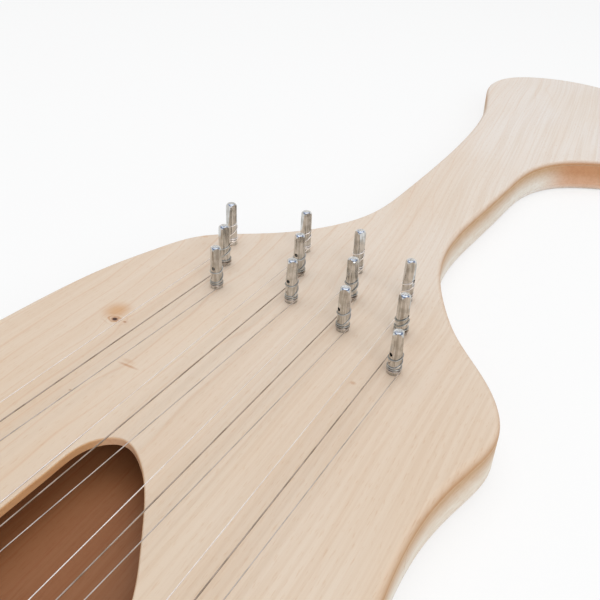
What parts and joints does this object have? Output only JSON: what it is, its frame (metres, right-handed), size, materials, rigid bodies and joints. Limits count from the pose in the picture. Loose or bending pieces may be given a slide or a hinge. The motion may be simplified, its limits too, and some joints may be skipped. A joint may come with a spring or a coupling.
{
  "type": "lyre guitar",
  "caption": "Slim maple lyre guitar: hollow body with a leaf-shaped sound hole, waisted neck, flared head, string groups on zither pins.",
  "frame": {"origin": "middle of the outline's bounding rectangle, on the face of the back plate", "axes": "+Y along the strings from the tail to the head, +Z out of the soundboard, +X to the right when looking from the tail to the head"},
  "size_m": [0.2306, 0.7788, 0.0409],
  "materials": {
    "maple_plate": "sanded maple, unvarnished",
    "maple_core": "sanded maple edge, unvarnished",
    "spruce_brace": "planed spruce",
    "nickel_plate": "nickel plated steel",
    "string_steel": "plain drawn steel wire",
    "saddle_brass": "drawn brass rod"
  },
  "bodies": {
    "instrument": {"soundboard": "maple_plate", "back_plate": "maple_plate", "neck_core": "maple_core", "left_rib": "maple_core", "right_rib": "maple_core", "tail_block": "maple_core", "upper_brace": "spruce_brace", "bridge_brace": "spruce_brace", "bridge": "maple_plate", "saddle_rod": "saddle_brass", "string_1_front": "string_steel", "string_1_middle": "string_steel", "string_1_back": "string_steel", "string_2_front": "string_steel", "string_2_middle": "string_steel", "string_2_back": "string_steel", "string_3_front": "string_steel", "string_3_middle": "string_steel", "string_3_back": "string_steel", "string_4_front": "string_steel", "string_4_middle": "string_steel", "string_4_back": "string_steel", "hitch_pin_1_front": "string_steel", "hitch_pin_1_middle": "string_steel", "hitch_pin_1_back": "string_steel", "hitch_pin_2_front": "string_steel", "hitch_pin_2_middle": "string_steel", "hitch_pin_2_back": "string_steel", "hitch_pin_3_front": "string_steel", "hitch_pin_3_middle": "string_steel", "hitch_pin_3_back": "string_steel", "hitch_pin_4_front": "string_steel", "hitch_pin_4_middle": "string_steel", "hitch_pin_4_back": "string_steel"},
    "pin_1_front": {"tuning_pin_1_front": "nickel_plate", "string_coil_1_front": "string_steel"},
    "pin_1_middle": {"tuning_pin_1_middle": "nickel_plate", "string_coil_1_middle": "string_steel"},
    "pin_1_back": {"tuning_pin_1_back": "nickel_plate", "string_coil_1_back": "string_steel"},
    "pin_2_front": {"tuning_pin_2_front": "nickel_plate", "string_coil_2_front": "string_steel"},
    "pin_2_middle": {"tuning_pin_2_middle": "nickel_plate", "string_coil_2_middle": "string_steel"},
    "pin_2_back": {"tuning_pin_2_back": "nickel_plate", "string_coil_2_back": "string_steel"},
    "pin_3_front": {"tuning_pin_3_front": "nickel_plate", "string_coil_3_front": "string_steel"},
    "pin_3_middle": {"tuning_pin_3_middle": "nickel_plate", "string_coil_3_middle": "string_steel"},
    "pin_3_back": {"tuning_pin_3_back": "nickel_plate", "string_coil_3_back": "string_steel"},
    "pin_4_front": {"tuning_pin_4_front": "nickel_plate", "string_coil_4_front": "string_steel"},
    "pin_4_middle": {"tuning_pin_4_middle": "nickel_plate", "string_coil_4_middle": "string_steel"},
    "pin_4_back": {"tuning_pin_4_back": "nickel_plate", "string_coil_4_back": "string_steel"}
  },
  "joints": [
    {"name": "tune_1_front", "type": "hinge", "parent": "instrument", "child": "pin_1_front", "pos_m": [-0.04938, -0.05936, 0.02], "axis": [0, 0, 1], "range_deg": [-900, 180]},
    {"name": "tune_1_middle", "type": "hinge", "parent": "instrument", "child": "pin_1_middle", "pos_m": [-0.05758, -0.04106, 0.02], "axis": [0, 0, 1], "range_deg": [-900, 180]},
    {"name": "tune_1_back", "type": "hinge", "parent": "instrument", "child": "pin_1_back", "pos_m": [-0.06578, -0.02276, 0.02], "axis": [0, 0, 1], "range_deg": [-900, 180]},
    {"name": "tune_2_front", "type": "hinge", "parent": "instrument", "child": "pin_2_front", "pos_m": [-0.01668, -0.05236, 0.02], "axis": [0, 0, 1], "range_deg": [-900, 180]},
    {"name": "tune_2_middle", "type": "hinge", "parent": "instrument", "child": "pin_2_middle", "pos_m": [-0.02479, -0.03136, 0.02], "axis": [0, 0, 1], "range_deg": [-900, 180]},
    {"name": "tune_2_back", "type": "hinge", "parent": "instrument", "child": "pin_2_back", "pos_m": [-0.03288, -0.01036, 0.02], "axis": [0, 0, 1], "range_deg": [-900, 180]},
    {"name": "tune_3_front", "type": "hinge", "parent": "instrument", "child": "pin_3_front", "pos_m": [0.01081, -0.05986, 0.02], "axis": [0, 0, 1], "range_deg": [-900, 180]},
    {"name": "tune_3_middle", "type": "hinge", "parent": "instrument", "child": "pin_3_middle", "pos_m": [0.00362, -0.03746, 0.02], "axis": [0, 0, 1], "range_deg": [-900, 180]},
    {"name": "tune_3_back", "type": "hinge", "parent": "instrument", "child": "pin_3_back", "pos_m": [-0.00359, -0.01506, 0.02], "axis": [0, 0, 1], "range_deg": [-900, 180]},
    {"name": "tune_4_front", "type": "hinge", "parent": "instrument", "child": "pin_4_front", "pos_m": [0.03871, -0.07466, 0.02], "axis": [0, 0, 1], "range_deg": [-900, 180]},
    {"name": "tune_4_middle", "type": "hinge", "parent": "instrument", "child": "pin_4_middle", "pos_m": [0.03152, -0.05016, 0.02], "axis": [0, 0, 1], "range_deg": [-900, 180]},
    {"name": "tune_4_back", "type": "hinge", "parent": "instrument", "child": "pin_4_back", "pos_m": [0.02431, -0.02566, 0.02], "axis": [0, 0, 1], "range_deg": [-900, 180]}
  ]
}
